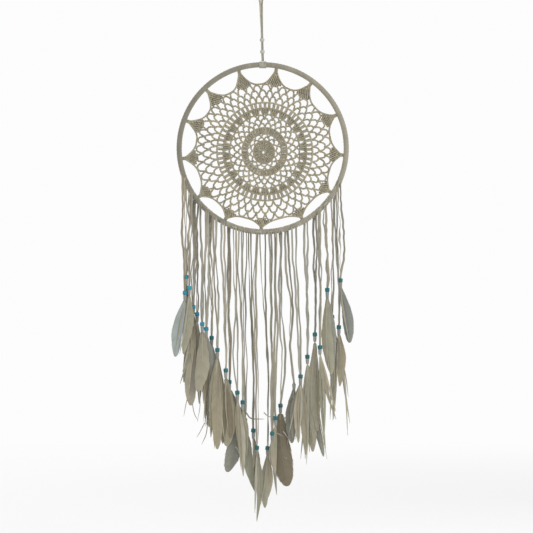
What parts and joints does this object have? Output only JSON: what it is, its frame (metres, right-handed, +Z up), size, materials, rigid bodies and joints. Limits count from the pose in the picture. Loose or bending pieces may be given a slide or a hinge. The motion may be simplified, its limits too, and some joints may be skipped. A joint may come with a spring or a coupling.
{
  "type": "dream catcher",
  "caption": "Hanging wall ornament: a lace-wrapped hoop with a crocheted star web and a fringe of suede laces with beads and feathers.",
  "frame": {"origin": "top of the hanging loop, where a hook or nail holds it", "axes": "+Z up along the hanging cord, +X to the viewer's right, -Y towards the viewer"},
  "size_m": [0.3353, 0.0212, 0.992],
  "materials": {
    "cotton_cord": "twisted matte cotton",
    "pale_wood": "bare pale wood",
    "hoop_steel": "plain steel wire",
    "suede_lace": "soft grey-beige faux suede",
    "web_yarn": "crocheted cotton yarn",
    "turquoise_glass": "glossy turquoise glass",
    "feather": "matte grey-beige feather vane"
  },
  "bodies": {
    "hanger": {"hanging_loop": "cotton_cord"},
    "upper_bead": {"hanger_bead_upper": "pale_wood"},
    "lower_bead": {"hanger_bead_lower": "pale_wood"},
    "knot": {"hanger_knot": "cotton_cord"},
    "hoop": {"hoop_core": "hoop_steel", "hoop_wrap": "suede_lace", "hoop_knots": "suede_lace", "web": "web_yarn"},
    "strand_01": {"lace_01": "suede_lace", "bead_01": "turquoise_glass", "feathers_01": "feather"},
    "strand_02": {"lace_02": "suede_lace", "bead_02": "turquoise_glass", "feathers_02": "feather"},
    "strand_03": {"lace_03": "suede_lace", "bead_03": "turquoise_glass", "feathers_03": "feather"},
    "strand_04": {"lace_04": "suede_lace", "bead_04": "turquoise_glass", "feathers_04": "feather"},
    "strand_05": {"lace_05": "suede_lace", "bead_05": "turquoise_glass", "feathers_05": "feather"},
    "strand_06": {"lace_06": "suede_lace", "bead_06": "turquoise_glass", "feathers_06": "feather"},
    "strand_07": {"lace_07": "suede_lace", "bead_07": "turquoise_glass", "feathers_07": "feather"},
    "strand_08": {"lace_08": "suede_lace", "bead_08": "turquoise_glass", "feathers_08": "feather"},
    "strand_09": {"lace_09": "suede_lace", "bead_09": "turquoise_glass", "feathers_09": "feather"},
    "strand_10": {"lace_10": "suede_lace", "bead_10": "turquoise_glass", "feathers_10": "feather"},
    "strand_11": {"lace_11": "suede_lace", "bead_11": "turquoise_glass", "feathers_11": "feather"},
    "strand_12": {"lace_12": "suede_lace", "bead_12": "turquoise_glass", "feathers_12": "feather"},
    "strand_13": {"lace_13": "suede_lace", "bead_13": "turquoise_glass", "feathers_13": "feather"},
    "strand_14": {"lace_14": "suede_lace", "bead_14": "turquoise_glass", "feathers_14": "feather"},
    "strand_15": {"lace_15": "suede_lace", "bead_15": "turquoise_glass", "feathers_15": "feather"},
    "strand_16": {"lace_16": "suede_lace", "bead_16": "turquoise_glass", "feathers_16": "feather"},
    "strand_17": {"lace_17": "suede_lace", "bead_17": "turquoise_glass", "feathers_17": "feather"}
  },
  "joints": [
    {"name": "upper_bead_slide", "type": "slide", "parent": "hanger", "child": "upper_bead", "axis": [-0.0289, 0, 0.9996], "range_m": [0, 0.02]},
    {"name": "lower_bead_slide", "type": "slide", "parent": "hanger", "child": "lower_bead", "axis": [-0.0289, 0, 0.9996], "range_m": [0, 0.006]},
    {"name": "hoop_turn", "type": "hinge", "parent": "hanger", "child": "knot", "pos_m": [0.004, 0, -0.14523], "axis": [0, 0, 1], "range_deg": [-120, 120], "stiffness_Nm_per_rad": 0.002},
    {"name": "hoop_tilt", "type": "hinge", "parent": "knot", "child": "hoop", "pos_m": [0.004, 0, -0.14523], "axis": [1, 0, 0], "range_deg": [-30, 30]},
    {"name": "strand_01_swing", "type": "hinge", "parent": "hoop", "child": "strand_01", "pos_m": [-0.143, -0.0065, -0.34915], "axis": [1, 0, 0], "range_deg": [-30, 0]},
    {"name": "strand_02_swing", "type": "hinge", "parent": "hoop", "child": "strand_02", "pos_m": [-0.119, 0.0065, -0.39432], "axis": [1, 0, 0], "range_deg": [0, 30]},
    {"name": "strand_03_swing", "type": "hinge", "parent": "hoop", "child": "strand_03", "pos_m": [-0.111, -0.0065, -0.40392], "axis": [1, 0, 0], "range_deg": [-30, 0]},
    {"name": "strand_04_swing", "type": "hinge", "parent": "hoop", "child": "strand_04", "pos_m": [-0.097, 0.0065, -0.41758], "axis": [1, 0, 0], "range_deg": [0, 30]},
    {"name": "strand_05_swing", "type": "hinge", "parent": "hoop", "child": "strand_05", "pos_m": [-0.083, -0.0065, -0.42828], "axis": [1, 0, 0], "range_deg": [-30, 0]},
    {"name": "strand_06_swing", "type": "hinge", "parent": "hoop", "child": "strand_06", "pos_m": [-0.058, 0.0065, -0.44206], "axis": [1, 0, 0], "range_deg": [0, 30]},
    {"name": "strand_07_swing", "type": "hinge", "parent": "hoop", "child": "strand_07", "pos_m": [-0.047, -0.0065, -0.44637], "axis": [1, 0, 0], "range_deg": [-30, 0]},
    {"name": "strand_08_swing", "type": "hinge", "parent": "hoop", "child": "strand_08", "pos_m": [-0.029, 0.0065, -0.45145], "axis": [1, 0, 0], "range_deg": [0, 30]},
    {"name": "strand_09_swing", "type": "hinge", "parent": "hoop", "child": "strand_09", "pos_m": [-0.011, -0.0065, -0.45427], "axis": [1, 0, 0], "range_deg": [-30, 0]},
    {"name": "strand_10_swing", "type": "hinge", "parent": "hoop", "child": "strand_10", "pos_m": [0.01, 0.0065, -0.45488], "axis": [1, 0, 0], "range_deg": [0, 30]},
    {"name": "strand_11_swing", "type": "hinge", "parent": "hoop", "child": "strand_11", "pos_m": [0.021, -0.0065, -0.45406], "axis": [1, 0, 0], "range_deg": [-30, 0]},
    {"name": "strand_12_swing", "type": "hinge", "parent": "hoop", "child": "strand_12", "pos_m": [0.037, 0.0065, -0.45145], "axis": [1, 0, 0], "range_deg": [0, 30]},
    {"name": "strand_13_swing", "type": "hinge", "parent": "hoop", "child": "strand_13", "pos_m": [0.062, -0.0065, -0.44374], "axis": [1, 0, 0], "range_deg": [-30, 0]},
    {"name": "strand_14_swing", "type": "hinge", "parent": "hoop", "child": "strand_14", "pos_m": [0.085, 0.0065, -0.43215], "axis": [1, 0, 0], "range_deg": [0, 30]},
    {"name": "strand_15_swing", "type": "hinge", "parent": "hoop", "child": "strand_15", "pos_m": [0.107, -0.0065, -0.41583], "axis": [1, 0, 0], "range_deg": [-30, 0]},
    {"name": "strand_16_swing", "type": "hinge", "parent": "hoop", "child": "strand_16", "pos_m": [0.134, 0.0065, -0.38441], "axis": [1, 0, 0], "range_deg": [0, 30]},
    {"name": "strand_17_swing", "type": "hinge", "parent": "hoop", "child": "strand_17", "pos_m": [0.145, -0.0065, -0.36437], "axis": [1, 0, 0], "range_deg": [-30, 0]}
  ]
}
